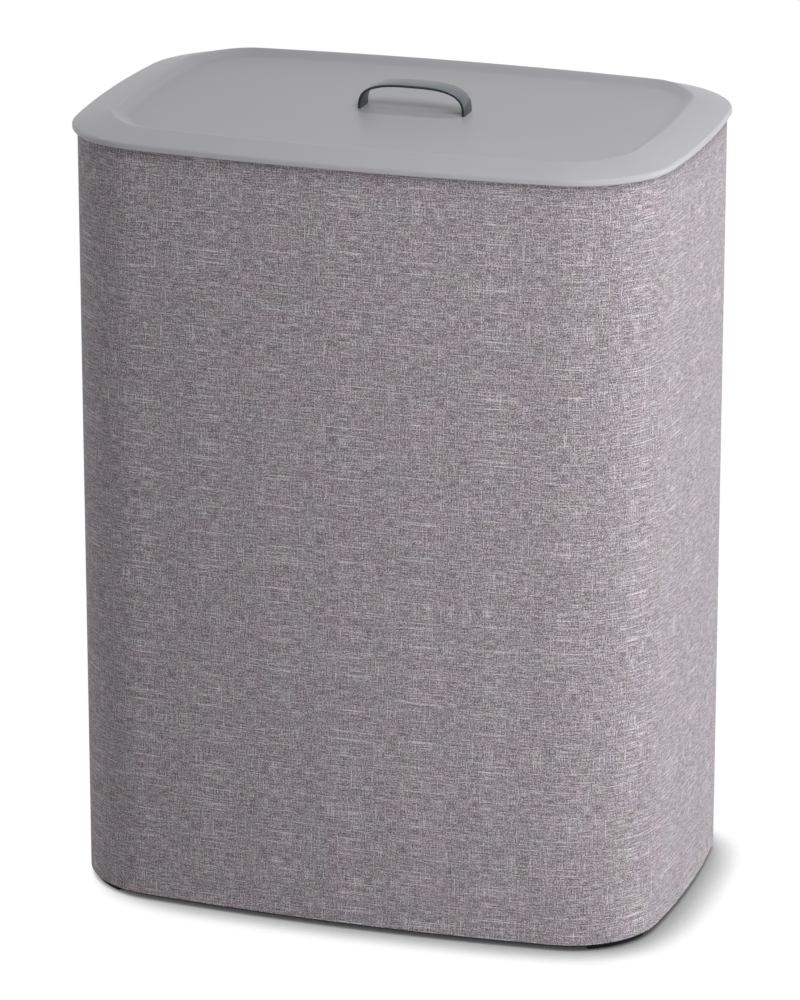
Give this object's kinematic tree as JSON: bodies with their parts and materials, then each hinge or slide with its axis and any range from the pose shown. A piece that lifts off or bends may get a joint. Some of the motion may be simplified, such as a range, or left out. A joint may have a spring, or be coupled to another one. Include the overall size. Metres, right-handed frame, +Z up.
{
  "type": "laundry hamper",
  "caption": "Tall fabric-covered laundry hamper with rounded corners, a moulded lift-off lid with a metal strap handle, and lift-out hooped bags with webbing carry loops.",
  "frame": {"origin": "on the floor under the middle of the hamper", "axes": "+Z up, +Y to the back, +X to the right as seen from the front"},
  "size_m": [0.5084, 0.3404, 0.6726],
  "materials": {
    "cover_fabric": "heathered plain weave",
    "fibreboard": "raw hardboard",
    "lining": "coated, moisture-proof",
    "frame_plastic": "moulded",
    "base_plastic": "moulded",
    "foot_rubber": "matt",
    "lid_plastic": "satin moulded",
    "handle_steel": "satin, dark",
    "plated_steel": "zinc plated",
    "bag_cloth": "plain woven polyester",
    "webbing": "woven webbing"
  },
  "bodies": {
    "case": {"outer_cover": "cover_fabric", "wall_core": "fibreboard", "inner_lining": "lining", "rim_frame": "frame_plastic", "base_tray": "base_plastic", "base_board": "fibreboard", "foot_front_left": "foot_rubber", "foot_front_right": "foot_rubber", "foot_back_left": "foot_rubber", "foot_back_right": "foot_rubber", "rim_rivet_right": "base_plastic", "rim_rivet_back_right": "base_plastic", "rim_rivet_back_left": "base_plastic", "rim_rivet_left": "base_plastic", "rim_rivet_front_left": "base_plastic", "rim_rivet_front_right": "base_plastic", "tray_rivet_right": "base_plastic", "tray_rivet_back_right": "base_plastic", "tray_rivet_back_left": "base_plastic", "tray_rivet_left": "base_plastic", "tray_rivet_front_left": "base_plastic", "tray_rivet_front_right": "base_plastic"},
    "lid": {"lid_panel": "lid_plastic", "lid_handle": "handle_steel", "handle_screw_left": "plated_steel", "handle_screw_right": "plated_steel", "handle_washer_left": "plated_steel", "handle_washer_right": "plated_steel"},
    "left_bag": {"left_bag_body": "bag_cloth", "left_bag_hoop": "plated_steel", "left_bag_board": "fibreboard", "left_bag_tab_outer_front": "webbing", "left_bag_tab_outer_back": "webbing", "left_bag_tab_inner_front": "webbing", "left_bag_tab_inner_back": "webbing"},
    "left_outer_loop": {"left_bag_loop_outer": "webbing"},
    "left_inner_loop": {"left_bag_loop_inner": "webbing"},
    "right_bag": {"right_bag_body": "bag_cloth", "right_bag_hoop": "plated_steel", "right_bag_board": "fibreboard", "right_bag_tab_outer_front": "webbing", "right_bag_tab_outer_back": "webbing", "right_bag_tab_inner_front": "webbing", "right_bag_tab_inner_back": "webbing"},
    "right_outer_loop": {"right_bag_loop_outer": "webbing"},
    "right_inner_loop": {"right_bag_loop_inner": "webbing"}
  },
  "joints": [
    {"name": "lid_lift", "type": "slide", "parent": "case", "child": "lid", "axis": [0, 0, 1], "range_m": [0, 0.95]},
    {"name": "left_bag_lift", "type": "slide", "parent": "case", "child": "left_bag", "axis": [0, 0, 1], "range_m": [0, 0.67]},
    {"name": "right_bag_lift", "type": "slide", "parent": "case", "child": "right_bag", "axis": [0, 0, 1], "range_m": [0, 0.67]},
    {"name": "left_outer_loop_swing", "type": "hinge", "parent": "left_bag", "child": "left_outer_loop", "pos_m": [-0.22503, 0, 0.6123], "axis": [0, -1, 0], "range_deg": [0, 160]},
    {"name": "left_inner_loop_swing", "type": "hinge", "parent": "left_bag", "child": "left_inner_loop", "pos_m": [-0.01347, 0, 0.6123], "axis": [0, 1, 0], "range_deg": [0, 160]},
    {"name": "right_outer_loop_swing", "type": "hinge", "parent": "right_bag", "child": "right_outer_loop", "pos_m": [0.22503, 0, 0.6123], "axis": [0, 1, 0], "range_deg": [0, 160]},
    {"name": "right_inner_loop_swing", "type": "hinge", "parent": "right_bag", "child": "right_inner_loop", "pos_m": [0.01347, 0, 0.6123], "axis": [0, -1, 0], "range_deg": [0, 160]}
  ],
  "couplings": [
    {"joint": "left_bag_lift", "follows": "lid_lift", "ratio": 0.7},
    {"joint": "right_bag_lift", "follows": "lid_lift", "ratio": 0.7},
    {"joint": "left_outer_loop_swing", "follows": "lid_lift", "rad_per_m": 2.9},
    {"joint": "left_inner_loop_swing", "follows": "lid_lift", "rad_per_m": 2.9},
    {"joint": "right_outer_loop_swing", "follows": "lid_lift", "rad_per_m": 2.9},
    {"joint": "right_inner_loop_swing", "follows": "lid_lift", "rad_per_m": 2.9}
  ]
}
